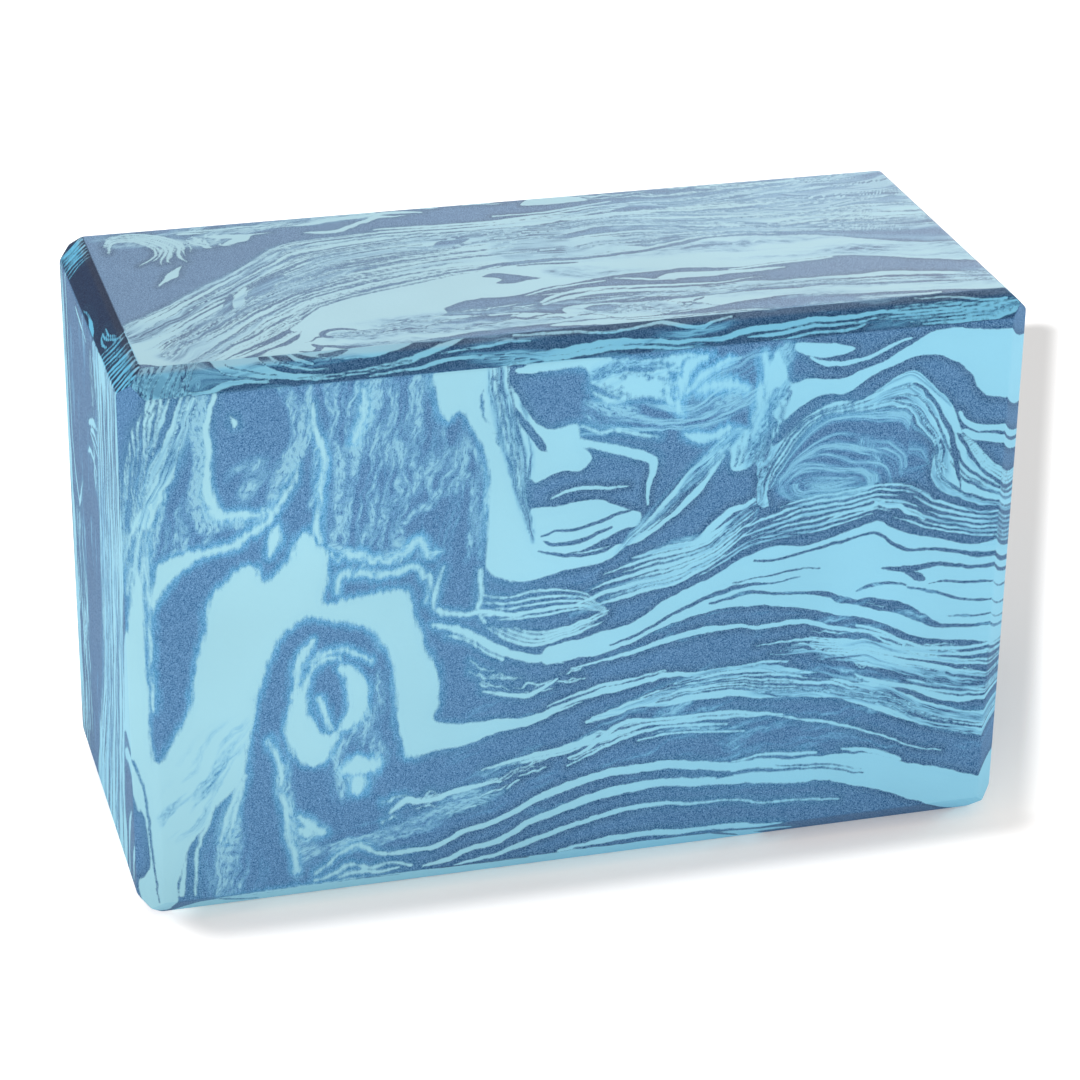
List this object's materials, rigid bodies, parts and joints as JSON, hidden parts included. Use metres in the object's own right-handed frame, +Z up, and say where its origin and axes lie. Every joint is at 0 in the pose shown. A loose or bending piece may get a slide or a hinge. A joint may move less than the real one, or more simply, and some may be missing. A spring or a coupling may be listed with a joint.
{
  "type": "yoga block",
  "caption": "Marbled foam yoga block in slate blue and aqua, a chamfered brick of pressed wavy plies that props a hand, foot or back on any of its faces.",
  "frame": {"origin": "middle of the long narrow face that the block rests on", "axes": "+X along the length, towards the right end in the picture; -Y is the broad front face; +Z up"},
  "size_m": [0.2286, 0.1016, 0.148],
  "materials": {
    "slate_foam": "matt closed-cell foam, slate blue with fine pale cells",
    "aqua_foam": "matt closed-cell foam, pale aqua"
  },
  "bodies": {
    "root": {"slate_base_ply": "slate_foam", "aqua_underside_ply": "aqua_foam", "slate_foot_ply": "slate_foam", "aqua_lower_ply": "aqua_foam", "slate_wide_ply": "slate_foam", "aqua_streaked_ply": "aqua_foam", "slate_middle_ply": "slate_foam", "aqua_stream_ply": "aqua_foam", "slate_striped_ply": "slate_foam", "aqua_eye_ply": "aqua_foam", "slate_arch_ply": "slate_foam", "aqua_upper_ply": "aqua_foam", "slate_crown_ply": "slate_foam"}
  },
  "joints": []
}
